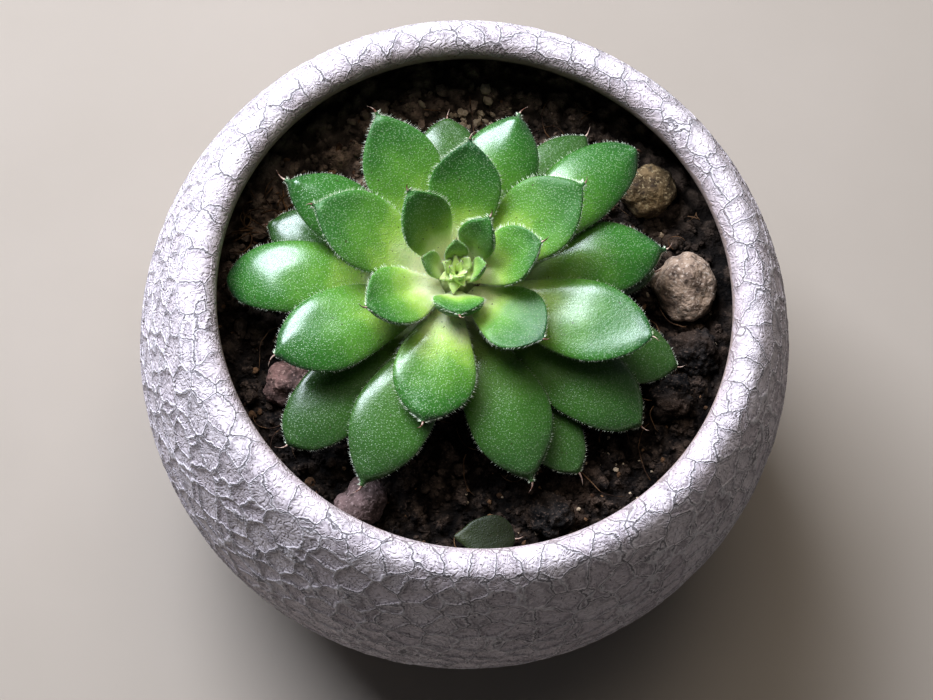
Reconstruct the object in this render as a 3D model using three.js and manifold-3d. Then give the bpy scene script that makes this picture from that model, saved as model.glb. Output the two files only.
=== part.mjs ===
// A potted succulent: a rosette of fleshy pointed leaves on a short stem, in a ball-shaped pot of soil and
// stones. Millimetres, +Z up. The origin is the middle of the pot's flat base.
import * as THREE from "three";
import { mergeVertices } from "three/addons/utils/BufferGeometryUtils.js";
import Module from "manifold-3d";

const wasm = await Module();
wasm.setup();

// Pot: a ball with its foot cut flat and its mouth cut open, of one wall thickness with a rounded lip.
const BALL_RADIUS = 65;
const BALL_HEIGHT = 47; // the ball's centre above the base
const POT_HEIGHT = 83;
const WALL = 7;
const FLOOR = 8;
const FOOT_BEVEL = 1.5;
const POT_SIDES = 48;

// Soil: fills the pot to this far below its top, and its own top is uneven.
const HEADROOM = 17;
const SOIL_WAVE = 0.7; // how far its top rises and dips
const SOIL_SIDES = 36;
const SOIL_RINGS = 7;

// Plant: the stem's axis stands a little off the pot's. All that is planted, from the stem to the stones,
// is drawn for a rosette of DRAWN_REACH, and grows or shrinks as one to leave ROSETTE_ROOM inside the pot's
// mouth.
const PLANT_X = -4.5;
const PLANT_Y = 1.5;
const DRAWN_REACH = 45.5; // of the longest leaf
const ROSETTE_ROOM = 3.2;
const STEM_RADIUS = 7; // at the soil
const STEM_TOP_RADIUS = 1.5;
const STEM_HEIGHT = 16.5; // above the soil
const STEM_ROOT = 9; // below the soil

const GAP = 0.3; // kept between neighbours

// Leaf build: points round one section, and the shares of a leaf's length where its sections stand.
const LEAF_ROUND = 10;
const LEAF_STATIONS = [0.02, 0.1, 0.22, 0.36, 0.5, 0.63, 0.75, 0.85, 0.92, 0.955, 0.972];
const WIDEST_AT = 0.64; // share of the blade's length
const SPIKE = 0.035; // the last share of its length is a thin dry point
const SPIKE_WIDTH = 0.7;
const UPPER_SHARE = 0.36; // of the thickness, above the midline

// Each tier's leaves leave the stem at the launch angle and end at the droop angle, in degrees above level.
// "base" is the width at the stem as a share of the full width. A "blunt" of 0.5 makes a round end, and one
// over 1 draws the end out to a point. A leaf is [azimuth, reach, rise, width, seat]: the way it grows, how
// far its tip is from the stem's axis, how high its tip and its seat on the stem are above the soil, and
// how wide it is. Some leaves add a sway, which is how far the tip swings to the left, or a droop or an end
// of their own.
const TIERS = [
  {
    name: "ground_leaf", launch: 8, droop: -8, thickness: 3.2, cup: 0.1, base: 0.2, blunt: 0.6,
    leaves: [
      [105, 37, 6.5, 13, 3.4], [65, 43.5, 6, 12.5, 3.8, { blunt: 0.7 }], [22, 41, 3.8, 10, 2.4],
      [356, 46.5, 4, 14.5, 2.6, { blunt: 0.65 }], [318, 43, 4, 12.5, 2.6], [229, 34, 3.2, 11, 2.2],
    ],
  },
  {
    name: "lower_leaf", launch: 12, droop: -12, thickness: 3.6, cup: 0.12, base: 0.24, blunt: 0.65,
    leaves: [
      [238, 44.5, 6, 14.5, 4.8, { blunt: 0.52 }], [173, 39, 6, 12.5, 3.4],
      [263, 43.5, 9.3, 15, 8.9, { sway: -2.4, blunt: 0.95 }], [305, 41, 7.5, 16, 7.6, { blunt: 1 }],
      [335, 45, 6.4, 15.5, 5.2, { sway: 1.8 }],
    ],
  },
  {
    name: "outer_leaf", launch: 18, droop: -8, thickness: 4, cup: 0.14, base: 0.22, blunt: 0.75,
    leaves: [
      [219, 38, 15, 15.5, 10.3], [355, 38.5, 13, 16, 10], [25, 42.5, 9.5, 15, 5.4, { blunt: 0.95 }],
      [192, 44, 6.5, 14.5, 6, { droop: -36, blunt: 0.55 }], [164, 38, 16, 13, 8.2, { blunt: 0.95 }],
      [48, 45.5, 12.4, 14, 8.2, { sway: 2.6, blunt: 0.6 }], [83, 35, 18, 15, 9.8, { blunt: 1 }],
    ],
  },
  {
    name: "middle_leaf", launch: 30, droop: 8, thickness: 3.8, cup: 0.2, base: 0.22, blunt: 1.1,
    leaves: [
      [271, 30, 15.5, 15.5, 11.6, { blunt: 0.85 }], [132, 34, 24, 15, 10.3], [173, 30, 24.5, 14.5, 12.1],
      [47, 29, 24.5, 15, 11.4],
    ],
  },
  {
    name: "inner_leaf", launch: 42, droop: 25, thickness: 3.2, cup: 0.25, base: 0.25, blunt: 0.85,
    leaves: [
      [99, 24, 27.5, 13.5, 12.4, { blunt: 1.15 }], [221, 20, 23.5, 12, 13.4], [332, 21.5, 21, 13, 12.5],
      [144, 16, 30, 10.5, 14, { blunt: 1 }], [25, 16, 27, 11, 13.8],
      [67, 9.5, 29, 7.5, 15.3, { blunt: 1.05 }],
      [284, 10, 22, 9.5, 14.4],
    ],
  },
  {
    name: "heart_leaf", launch: 66, droop: 55, thickness: 1.6, cup: 0.3, base: 0.45, blunt: 0.85,
    leaves: [
      [187, 7, 24, 4.8, 15.6], [8, 5, 24.5, 4.4, 15.8], [112, 4.4, 24.5, 4.4, 16.2],
    ],
  },
  {
    name: "bud_leaf", launch: 80, droop: 74, thickness: 0.9, cup: 0.3, base: 0.42, blunt: 0.85, foot: 1,
    leaves: [
      [175, 2.6, 21.5, 2.6, 17.4], [285, 2.2, 22, 2.6, 17.4], [50, 2.6, 22, 2.6, 17.4],
    ],
  },
];

// One loose leaf lies on the soil: [azimuth about the pot's axis, distance from it, length, width, turn
// about its own middle].
const LOOSE_LEAF = [286, 44.5, 12, 8.5, 12];
const LOOSE_TIER = { launch: 6, droop: -6, thickness: 2.2, cup: 0.1, base: 0.3, blunt: 0.5 };

// Stones and clods of soil: [azimuth about the pot's axis, distance from it, width, depth, height, share of
// the height that is sunk].
const STONES = [
  [22, 42.5, 12.5, 14, 10, 0.35],
  [50, 44, 11, 10.5, 9, 0.35],
  [216, 38.5, 9.5, 8.5, 7, 0.35],
  [254, 43.5, 13, 8, 7, 0.4],
];
const CLODS = [
  [5, 44, 9, 8.5, 6.5, 0.35],
  [351, 41.5, 9, 9, 7, 0.4],
  [304, 42.5, 9, 7.5, 5.5, 0.4],
];

const UP = new THREE.Vector3(0, 0, 1);
const degrees = THREE.MathUtils.degToRad;

function paint(colour, roughness) {
  return new THREE.MeshStandardMaterial({ color: colour, roughness, metalness: 0 });
}

const GLAZE = paint(0xd9d2d6, 0.85);
const EARTH = paint(0x2b2019, 1);
const STONE = paint(0x8a7866, 0.9);
const BARK = paint(0x8f9a5a, 0.8);
const LEAF = paint(0x4f9a3c, 0.4);
const YOUNG_LEAF = paint(0x9cc95a, 0.45);

// How far the ball's shell of the given radius is from the axis, at a height.
function ballRadiusAt(height, radius) {
  return Math.sqrt(radius ** 2 - (height - BALL_HEIGHT) ** 2);
}

const SOIL_LEVEL = POT_HEIGHT - HEADROOM;
const LIP_RADIUS = WALL / 2;
const LIP_HEIGHT = POT_HEIGHT - LIP_RADIUS; // of the lip's own centre
const LIP_CENTRE = ballRadiusAt(LIP_HEIGHT, BALL_RADIUS - LIP_RADIUS);
const PLANTING = (LIP_CENTRE - LIP_RADIUS - ROSETTE_ROOM) / DRAWN_REACH; // the scale of all that is planted

// Points along a shell of the pot between two heights, in even steps of angle.
function ballArc(radius, from, to, steps) {
  const a = Math.asin((from - BALL_HEIGHT) / radius);
  const b = Math.asin((to - BALL_HEIGHT) / radius);
  return Array.from({ length: steps + 1 }, (_, i) => {
    const angle = a + ((b - a) * i) / steps;
    return new THREE.Vector2(radius * Math.cos(angle), BALL_HEIGHT + radius * Math.sin(angle));
  });
}

// Turns a profile of [radius, height] points, from the axis back to the axis, about Z.
function turned(profile, sides) {
  return new THREE.LatheGeometry(profile, sides).rotateX(Math.PI / 2);
}

// A geometry as a manifold-3d solid, and a solid as a geometry.
function solidOf(geometry) {
  const bare = geometry.clone();
  bare.deleteAttribute("normal");
  bare.deleteAttribute("uv");
  const merged = mergeVertices(bare, 1e-4);
  return new wasm.Manifold(
    new wasm.Mesh({
      numProp: 3,
      vertProperties: new Float32Array(merged.getAttribute("position").array),
      triVerts: new Uint32Array(merged.index.array),
    }),
  );
}

function geometryOf(solid) {
  const mesh = solid.getMesh();
  const geometry = new THREE.BufferGeometry();
  geometry.setAttribute("position", new THREE.BufferAttribute(mesh.vertProperties, 3));
  geometry.setIndex(new THREE.BufferAttribute(mesh.triVerts, 1));
  geometry.computeVertexNormals();
  return geometry;
}

function potGeometry() {
  const lean = Math.asin((LIP_HEIGHT - BALL_HEIGHT) / (BALL_RADIUS - LIP_RADIUS));
  const lipSteps = 6;
  const lip = Array.from({ length: lipSteps - 1 }, (_, i) => {
    const angle = lean + (Math.PI * (i + 1)) / lipSteps;
    const corner = new THREE.Vector2(Math.cos(angle), Math.sin(angle)).multiplyScalar(LIP_RADIUS);
    return corner.add(new THREE.Vector2(LIP_CENTRE, LIP_HEIGHT));
  });
  const outerTop = BALL_HEIGHT + BALL_RADIUS * Math.sin(lean);
  const innerTop = BALL_HEIGHT + (BALL_RADIUS - WALL) * Math.sin(lean);
  const profile = [
    new THREE.Vector2(0, 0),
    new THREE.Vector2(ballRadiusAt(0, BALL_RADIUS) - FOOT_BEVEL, 0),
    ...ballArc(BALL_RADIUS, FOOT_BEVEL, outerTop, 14),
    ...lip,
    ...ballArc(BALL_RADIUS - WALL, innerTop, FLOOR, 10),
    new THREE.Vector2(0, FLOOR),
  ];
  return turned(profile, POT_SIDES);
}

// The soil's uneven top, as a height above the pot's base.
function soilTop(x, y) {
  const wave = Math.sin(x * 0.21 + 1.3) * Math.cos(y * 0.17 - 0.4) + 0.5 * Math.sin(x * 0.43 - y * 0.37);
  return SOIL_LEVEL + SOIL_WAVE * wave;
}

function soilGeometry() {
  const shell = BALL_RADIUS - WALL - GAP;
  const potFlat = Math.cos(Math.PI / POT_SIDES); // how near the flats of the pot's wall come to its axis
  const edge = ballRadiusAt(SOIL_LEVEL, shell) * potFlat;
  const side = ballArc(shell, FLOOR + GAP, SOIL_LEVEL, 9);
  const profile = [
    new THREE.Vector2(0, FLOOR + GAP),
    ...side.map((p) => new THREE.Vector2(p.x * potFlat, p.y)),
  ];
  for (let ring = SOIL_RINGS - 1; ring >= 0; ring--) {
    profile.push(new THREE.Vector2((edge * ring) / SOIL_RINGS, SOIL_LEVEL));
  }
  const geometry = turned(profile, SOIL_SIDES);
  const position = geometry.getAttribute("position");
  for (let i = 0; i < position.count; i++) {
    const x = position.getX(i);
    const y = position.getY(i);
    if (position.getZ(i) > SOIL_LEVEL - 0.01 && Math.hypot(x, y) < edge - 0.01) {
      position.setZ(i, soilTop(x, y));
    }
  }
  return geometry;
}

// The stem's radius at a height above the soil: a cone that rounds off at the top.
function stemRadiusAt(height) {
  const share = THREE.MathUtils.clamp(height / STEM_HEIGHT, 0, 1);
  return STEM_RADIUS + (STEM_TOP_RADIUS - STEM_RADIUS) * share ** 0.85;
}

function stemGeometry(extra = 0) {
  const steps = 8;
  const above = Array.from({ length: steps + 1 }, (_, i) => {
    const height = (STEM_HEIGHT * i) / steps;
    return new THREE.Vector2(stemRadiusAt(height) + extra, height);
  });
  const profile = [
    new THREE.Vector2(0, -STEM_ROOT - extra),
    new THREE.Vector2(STEM_RADIUS * 0.6 + extra, -STEM_ROOT - extra),
    new THREE.Vector2(STEM_RADIUS * 0.9 + extra, -STEM_ROOT / 2),
    ...above,
    new THREE.Vector2(0, STEM_HEIGHT + STEM_TOP_RADIUS * 0.25 + extra),
  ];
  return turned(profile, 20);
}

// A leaf's width at a share of its length, as a share of its full width: a narrow base, a broad blade, a
// round end.
function outline(along, base, blunt) {
  const blade = along / (1 - SPIKE);
  if (blade >= 1) return 0;
  if (blade <= WIDEST_AT) return base + (1 - base) * THREE.MathUtils.smoothstep(blade, -0.08, WIDEST_AT);
  const closing = (blade - WIDEST_AT) / (1 - WIDEST_AT);
  return (1 - closing ** 2.2) ** blunt;
}

// A leaf's thickness in the same way.
function body(along) {
  if (along < 0.55) return 0.62 + 0.38 * THREE.MathUtils.smoothstep(along, 0, 0.4);
  return Math.sqrt(1 - ((along - 0.55) / 0.46) ** 2);
}

function aimed(angle, length) {
  return new THREE.Vector3(Math.cos(degrees(angle)) * length, 0, Math.sin(degrees(angle)) * length);
}

// The closed skin of one leaf that grows along +X from a stem on the Z axis, with the soil at height 0.
function leafGeometry(reach, rise, width, seat, tier, own = {}) {
  const { sway = 0, droop = tier.droop, blunt = tier.blunt } = own;
  const upperAtSeat = tier.thickness * UPPER_SHARE * body(0) * Math.sin(degrees(tier.launch));
  const start = new THREE.Vector3(tier.foot ?? stemRadiusAt(seat) + GAP + upperAtSeat, 0, seat);
  const end = new THREE.Vector3(reach, sway, rise);
  const handle = start.distanceTo(end) * 0.38;
  const midline = new THREE.CubicBezierCurve3(
    start,
    start.clone().add(aimed(tier.launch, handle)),
    end.clone().sub(aimed(droop, handle)),
    end,
  );
  const points = [midline.getPointAt(0)];
  for (const along of LEAF_STATIONS) {
    const centre = midline.getPointAt(along);
    const forward = midline.getTangentAt(along);
    const across = new THREE.Vector3(-forward.y, forward.x, 0).normalize();
    const up = new THREE.Vector3().crossVectors(forward, across);
    const half = Math.max(SPIKE_WIDTH, width * outline(along, tier.base, blunt)) / 2;
    const thick = Math.min(tier.thickness * body(along), half * 1.6);
    for (let j = 0; j < LEAF_ROUND; j++) {
      const angle = (2 * Math.PI * j) / LEAF_ROUND;
      const side = Math.cos(angle);
      const share = Math.sin(angle) > 0 ? UPPER_SHARE : 1 - UPPER_SHARE;
      const height = thick * share * Math.sin(angle) + tier.cup * half * side ** 2;
      points.push(centre.clone().addScaledVector(across, half * side).addScaledVector(up, height));
    }
  }
  points.push(midline.getPointAt(1));
  return skinOf(points, LEAF_ROUND, LEAF_STATIONS.length);
}

// Joins rings of points into one closed skin: a first point, the rings in turn, and a last point.
function skinOf(points, round, rings) {
  const last = points.length - 1;
  const at = (ring, j) => 1 + ring * round + (j % round);
  const index = [];
  for (let j = 0; j < round; j++) {
    index.push(0, at(0, j + 1), at(0, j));
    index.push(last, at(rings - 1, j), at(rings - 1, j + 1));
    for (let ring = 0; ring < rings - 1; ring++) {
      index.push(at(ring, j), at(ring, j + 1), at(ring + 1, j));
      index.push(at(ring, j + 1), at(ring + 1, j + 1), at(ring + 1, j));
    }
  }
  const geometry = new THREE.BufferGeometry().setFromPoints(points);
  geometry.setIndex(index);
  geometry.computeVertexNormals();
  return geometry;
}

// A rough stone: a faceted ball, lumpy in its own way by its seed, stretched to its size.
function stoneGeometry(width, depth, height, seed, lump, extra = 0) {
  const ball = new THREE.IcosahedronGeometry(1, 1).deleteAttribute("normal").deleteAttribute("uv");
  const geometry = mergeVertices(ball);
  const position = geometry.getAttribute("position");
  const point = new THREE.Vector3();
  for (let i = 0; i < position.count; i++) {
    point.fromBufferAttribute(position, i);
    const waves = [3 * point.x + seed, 4 * point.y + 2 * seed, 5 * point.z + 3 * seed];
    const swell = waves.reduce((sum, wave) => sum + Math.sin(wave), 0);
    point.multiplyScalar(1 + (lump * swell) / 3);
    point.set((point.x * width) / 2, (point.y * depth) / 2, (point.z * height) / 2);
    point.setLength(point.length() + extra);
    position.setXYZ(i, point.x, point.y, point.z);
  }
  return geometry;
}

function named(name, geometry, material) {
  const mesh = new THREE.Mesh(geometry, material);
  mesh.name = name;
  return mesh;
}

const pottedSucculent = new THREE.Group();
pottedSucculent.add(named("pot", potGeometry(), GLAZE));

// The plant stands in a pocket of its own in the soil.
const plant = new THREE.Group();
plant.position.set(PLANT_X * PLANTING, PLANT_Y * PLANTING, SOIL_LEVEL);
plant.scale.setScalar(PLANTING);
plant.updateMatrix();
plant.add(named("stem", stemGeometry(), BARK));
for (const tier of TIERS) {
  tier.leaves.forEach(([azimuth, reach, rise, width, seat, own], i) => {
    const skin = leafGeometry(reach, rise, width, seat, tier, own);
    const leaf = named(`${tier.name}_${i + 1}`, skin, tier.thickness < 2 ? YOUNG_LEAF : LEAF);
    leaf.rotation.z = degrees(azimuth);
    plant.add(leaf);
  });
}
pottedSucculent.add(plant);
const stemRoom = stemGeometry(GAP / PLANTING).applyMatrix4(plant.matrix);
let soil = solidOf(soilGeometry()).subtract(solidOf(stemRoom));

// A place on the soil, at an azimuth about the pot's axis and a drawn distance from it.
function placeOnSoil(azimuth, distance) {
  return new THREE.Vector3(distance * PLANTING, 0, SOIL_LEVEL).applyAxisAngle(UP, degrees(azimuth));
}

// Stones and clods lie part sunk, each in its pocket.
function addLumps(rows, name, material, lump) {
  rows.forEach(([azimuth, distance, ...size], i) => {
    const [width, depth, height, sunk] = size.map((value, k) => (k < 3 ? value * PLANTING : value));
    const mesh = named(`${name}_${i + 1}`, stoneGeometry(width, depth, height, azimuth, lump), material);
    mesh.position.copy(placeOnSoil(azimuth, distance));
    mesh.position.z = soilTop(mesh.position.x, mesh.position.y) + height * (0.5 - sunk);
    mesh.rotation.z = degrees(azimuth);
    mesh.updateMatrix();
    const pocket = stoneGeometry(width, depth, height, azimuth, lump, GAP).applyMatrix4(mesh.matrix);
    soil = soil.subtract(solidOf(pocket));
    pottedSucculent.add(mesh);
  });
}

addLumps(STONES, "stone", STONE, 0.07);
addLumps(CLODS, "clod", EARTH, 0.12);
pottedSucculent.add(named("soil", geometryOf(soil), EARTH));

const [looseAzimuth, looseDistance, looseLength, looseWidth, looseTurn] = LOOSE_LEAF;
const looseHeight = LOOSE_TIER.thickness * (1 - UPPER_SHARE) + (SOIL_WAVE * 1.5 + GAP) / PLANTING;
const looseLeaf = named(
  "loose_leaf",
  leafGeometry(looseLength / 2, looseHeight, looseWidth, looseHeight, { ...LOOSE_TIER, foot: -looseLength / 2 }),
  YOUNG_LEAF,
);
looseLeaf.position.copy(placeOnSoil(looseAzimuth, looseDistance));
looseLeaf.rotation.z = degrees(looseTurn);
looseLeaf.scale.setScalar(PLANTING);
pottedSucculent.add(looseLeaf);

export default pottedSucculent;
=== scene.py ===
# %% [markdown]
# # A potted succulent
#
# A rosette of fleshy, finely haired leaves grows in a ball-shaped pot of dark soil and small stones. The
# design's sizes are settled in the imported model, so this lesson loads it as a fixed frame and only makes
# the looks: finer skins over the same shapes, the relief of the glaze, hairs, crumbs, and a material for
# each real surface.

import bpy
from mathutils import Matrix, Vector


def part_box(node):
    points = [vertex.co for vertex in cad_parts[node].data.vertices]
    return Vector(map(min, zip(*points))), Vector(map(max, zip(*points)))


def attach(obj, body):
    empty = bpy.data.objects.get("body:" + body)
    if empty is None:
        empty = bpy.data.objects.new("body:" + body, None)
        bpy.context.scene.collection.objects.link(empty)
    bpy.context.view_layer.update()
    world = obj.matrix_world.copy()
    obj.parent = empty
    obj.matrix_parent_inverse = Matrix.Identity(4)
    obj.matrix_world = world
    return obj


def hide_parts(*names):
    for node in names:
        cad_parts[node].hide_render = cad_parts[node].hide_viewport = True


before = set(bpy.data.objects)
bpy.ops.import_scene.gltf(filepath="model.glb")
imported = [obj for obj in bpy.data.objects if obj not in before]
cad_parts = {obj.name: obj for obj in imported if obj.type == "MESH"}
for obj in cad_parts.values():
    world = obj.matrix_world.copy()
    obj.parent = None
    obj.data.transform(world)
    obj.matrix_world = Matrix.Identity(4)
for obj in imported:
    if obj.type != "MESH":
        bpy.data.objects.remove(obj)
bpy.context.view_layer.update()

# %% [markdown]
# ## Units and the pot's measures
#
# The scene is in metres and a potter works in mm, so sizes are written as a number of MM. Places could
# be typed in, but they are read from the frame, so that the looks follow the design if it changes.

# %% Tools and units
import math
import random

import bmesh
import bpy
import numpy as np
from mathutils import Euler, Matrix, Vector, noise

MM = 0.001
scene = bpy.context.scene
pot_low, pot_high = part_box("pot")
BALL_RADIUS = pot_high.x
POT_HEIGHT = pot_high.z
print("the pot is", round(2 * BALL_RADIUS / MM), "mm across and", round(POT_HEIGHT / MM), "mm high")

# %% [markdown]
# ## Nodes and colours
#
# A material's tree and a geometry tree are made of the same things: a node, its settings, and what feeds
# its inputs. Each kind of node could have a function of its own, but one function that adds any node keeps
# the program's own names in sight, and they can be looked up. Colours are the hex values of a paint chart,
# turned to linear light in one place.

# %% Colours and nodes
# Settings that come back in nearly every material: a range with soft ends, and a mix of two colours.
EASED = {"interpolation_type": "SMOOTHSTEP"}
COLOURS = {"data_type": "RGBA", "output": 2}


def colour(code):
    """A colour in linear light, from its sRGB hex code."""
    parts = [int(code[i : i + 2], 16) / 255 for i in (1, 3, 5)]
    return (*[p / 12.92 if p <= 0.04045 else ((p + 0.055) / 1.055) ** 2.4 for p in parts], 1)


def add(tree, kind, inputs=(), output=0, **settings):
    """Adds a node, sets it up and returns one of its outputs, or the node itself where output is None. Its
    inputs are given in order, or by name or number, and each is a link, a number or a hex colour."""
    node = tree.nodes.new(kind)
    for name, value in settings.items():
        setattr(node, name, value)
    for key, value in inputs.items() if isinstance(inputs, dict) else enumerate(inputs):
        if isinstance(value, bpy.types.NodeSocket):
            tree.links.new(value, node.inputs[key])
        elif isinstance(value, str) and value.startswith("#"):
            node.inputs[key].default_value = colour(value)
        else:
            node.inputs[key].default_value = value
    return node if output is None else node.outputs[output]


print("the window's colour in linear light", [round(c, 2) for c in colour("#e9f0ff")])

# %% [markdown]
# A material is a Principled shader with a few constants, and a pattern for what changes over the surface.
# Most of the patterns here are coats: a mask says where a coat lies, and the coat's colour is mixed in by
# the mask. Relief too fine to model is fed to the shader as a height in metres.

# %% Materials, coats and fine relief
def material(name, **surface):
    """A new material, with constants set straight on its Principled shader."""
    made = bpy.data.materials.new(name)
    made.use_nodes = True
    shader = made.node_tree.nodes["Principled BSDF"]
    for key, value in surface.items():
        shader.inputs[key.replace("_", " ")].default_value = value
    return made, made.node_tree, shader


def coated(tree, body, *coats):
    """A body colour under coats, each a mask, how fully it covers where the mask is 1, and its colour."""
    for mask, cover, tone in coats:
        if cover < 1:
            mask = add(tree, "ShaderNodeMath", [mask, cover], operation="MULTIPLY")
        body = add(tree, "ShaderNodeMix", {0: mask, 6: body, 7: tone}, **COLOURS)
    return body


def finish_surface(tree, shader, body, height):
    """Links a colour, and a bump from a height in metres, to the shader."""
    tree.links.new(body, shader.inputs["Base Color"])
    bump = add(tree, "ShaderNodeBump", {"Strength": 1, "Distance": 1, "Height": height})
    tree.links.new(bump, shader.inputs["Normal"])


print("materials can be made")

# %% [markdown]
# ## Camera
#
# The pot is looked down on from the front, tipped a little from straight above, and the camera is rolled
# slightly so the plant leans. A wide lens close by would swell the near rim, so a long one stands two
# hands' lengths away and aims at the middle of the ball.

# %% Place the camera
TILT = math.radians(17.64)
ROLL = math.radians(13.78)
BALL_HEIGHT = 47 * MM
CAMERA_DISTANCE = 400 * MM

camera = bpy.data.objects.new("camera", bpy.data.cameras.new("camera"))
scene.collection.objects.link(camera)
turn = Matrix.Rotation(TILT, 4, "X") @ Matrix.Rotation(ROLL, 4, "Z")
aim = Vector((0, 0, BALL_HEIGHT))
camera.matrix_world = Matrix.Translation(aim + turn.to_3x3() @ Vector((0, 0, CAMERA_DISTANCE))) @ turn
camera.data.lens = 75.6
camera.data.sensor_width = 36
camera.data.shift_x = 0.0021
camera.data.shift_y = -0.0057
camera.data.clip_start = 0.01
scene.camera = camera
print("camera", round(camera.location.z / MM), "mm above the table")

# %% [markdown]
# ## Light
#
# A window to the back left gives broad pale highlights on the leaves and leaves the near wall of the pot in
# soft shade. An area light stands in for it. A weaker one overhead is the light that a pale ceiling sends
# back down, which reaches the soil behind the rim. It is kept out of reflections, so the wax of the leaves
# mirrors one window only. A dim even sky fills the rest, and a gamma below 1 deepens the shadows, as a
# print on contrasty paper does.

# %% Lights
def area_light(name, place, size, power, tint, target=(0, 0, 0.06)):
    """A rectangular lamp that faces a target near the leaves."""
    lamp = bpy.data.objects.new(name, bpy.data.lights.new(name, "AREA"))
    lamp.data.shape = "RECTANGLE"
    lamp.data.size, lamp.data.size_y = size
    lamp.data.energy = power
    lamp.data.color = colour(tint)[:3]
    lamp.location = place
    lamp.rotation_euler = (Vector(target) - Vector(place)).to_track_quat("-Z", "Y").to_euler()
    scene.collection.objects.link(lamp)
    return lamp


area_light("window", (-0.58, 0.48, 0.78), size=(0.66, 0.6), power=24, tint="#e9f0ff")
ceiling = area_light("ceiling", (-0.1, 0.42, 1.15), size=(0.8, 0.8), power=6, tint="#fff6ec")
ceiling.visible_glossy = False

scene.world = bpy.data.worlds.new("sky")
scene.world.use_nodes = True
sky = scene.world.node_tree.nodes["Background"]
sky.inputs["Color"].default_value = colour("#dce4f2")
sky.inputs["Strength"].default_value = 0.08
scene.view_settings.view_transform = "Standard"
scene.view_settings.gamma = 0.86

# %% [markdown]
# The pot stands on a plain pale floor. It isn't part of the object, so it is only staged. Painted plaster
# is rolled on, which leaves it matte with the faintest patches, a hand's width apart.

# %% Floor
bpy.ops.mesh.primitive_plane_add(size=6, location=(0, 0, pot_low.z))
floor = bpy.context.object
floor.name = "floor"
plaster, tree, shader = material("painted_plaster", Roughness=0.8)
place = add(tree, "ShaderNodeTexCoord", output="Object")
patches = add(tree, "ShaderNodeTexNoise", {"Vector": place, "Scale": 1 / (60 * MM), "Detail": 3})
tree.links.new(coated(tree, "#b0a79c", (patches, 1, "#a59c90")), shader.inputs["Base Color"])
floor.data.materials.append(plaster)
print("floor at", round(pot_low.z / MM, 1), "mm")

# %% [markdown]
# ## Making a mesh
#
# Every piece could be sculpted from a ready-made ball or box, but then its sizes would be lost. Here each
# is made from plain lists of points and faces, worked out from the frame. Values that a material needs
# later, such as how far along its leaf a point lies, are kept on the points as named attributes.

# %% Mesh helper
def piece(name, points, faces, slot, materials, smooth=True, **values):
    """A new object that rides on the row's one body, with its values kept as attributes of its points."""
    mesh = bpy.data.meshes.new(name)
    mesh.from_pydata([tuple(p) for p in points], [], faces)
    for key, data in values.items():
        data = np.asarray(data, float)
        kind, field = ("FLOAT", "value") if data.ndim == 1 else ("FLOAT_VECTOR", "vector")
        mesh.attributes.new(key, kind, "POINT").data.foreach_set(field, data.ravel())
    mesh.shade_smooth() if smooth else mesh.shade_flat()
    made = bpy.data.objects.new(name, mesh)
    scene.collection.objects.link(made)
    for each in materials:
        mesh.materials.append(each)
    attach(made, "root")
    return made


def grid_faces(rows, columns, start=0):
    """Faces between rows of points, where each row goes once round."""
    faces = []
    for row in range(rows - 1):
        for k in range(columns):
            a, b = start + row * columns + k, start + row * columns + (k + 1) % columns
            faces.append((a, b, b + columns, a + columns))
    return faces


print("two rows of four points make", len(grid_faces(2, 4)), "faces")

# %% [markdown]
# The frame's shapes are coarse, with corners. Smooth curves through those corners give as many points as
# are wanted between them, and still pass through every one.

# %% Curves through known points
def distances_along(path):
    """How far along a path each of its points lies."""
    return np.concatenate([[0], np.cumsum(np.linalg.norm(np.diff(path, axis=0), axis=1))])


def smooth_between(known, values, at):
    """Values at new places, on smooth curves through the known ones."""
    known, values, at = np.asarray(known, float), np.asarray(values, float), np.asarray(at, float)
    slope = np.gradient(values, known, axis=0)
    i = np.clip(np.searchsorted(known, at, side="right") - 1, 0, len(known) - 2)
    step = (known[i + 1] - known[i])[:, None]
    t = (at - known[i])[:, None] / step
    ease = t * t * (3 - 2 * t)
    made = values[i] * (1 - ease) + values[i + 1] * ease
    made += step * (t * (1 - t) ** 2 * slope[i] - t * t * (1 - t) * slope[i + 1])
    return made


print("halfway up a step of 1 the curve is at", smooth_between([0, 1], [[0], [1]], [0.5])[0, 0])

# %% [markdown]
# ## The pot's shape
#
# The pot is turned, so its whole shape is one outline. A Screw modifier could spin it, but the glaze needs
# to know where each point lies, so the points are worked out here. The frame's outline is read back from
# its own corners and turned again with rings under a millimetre apart, so that the relief of the glaze has
# points to move. Two values are kept for the material: where each point lay before the relief moved it, and
# how far down inside the lip it is.

# %% Read and refine the outline
POT_ROUND = 760
FINE_STEP = 0.56 * MM
FIRST_STEP = 1.2 * MM
RELIEF_DEPTH = 9 * MM  # how far down inside the lip the fine rings go
AXIS_GAP = 0.02 * MM


def outline_of(node):
    """The outline of a turned node, from its foot's edge up the outside, over the lip and down the inside."""
    corners = {(round(v.co.x, 5), round(v.co.z, 5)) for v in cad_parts[node].data.vertices
               if abs(v.co.y) < 1e-5 and v.co.x > 1e-5}
    path = [min(corners, key=lambda c: (c[1], -c[0]))]
    corners.remove(path[0])
    while corners:
        path.append(min(corners, key=lambda c: math.dist(c, path[-1])))
        corners.remove(path[-1])
    return np.array(path)


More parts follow.
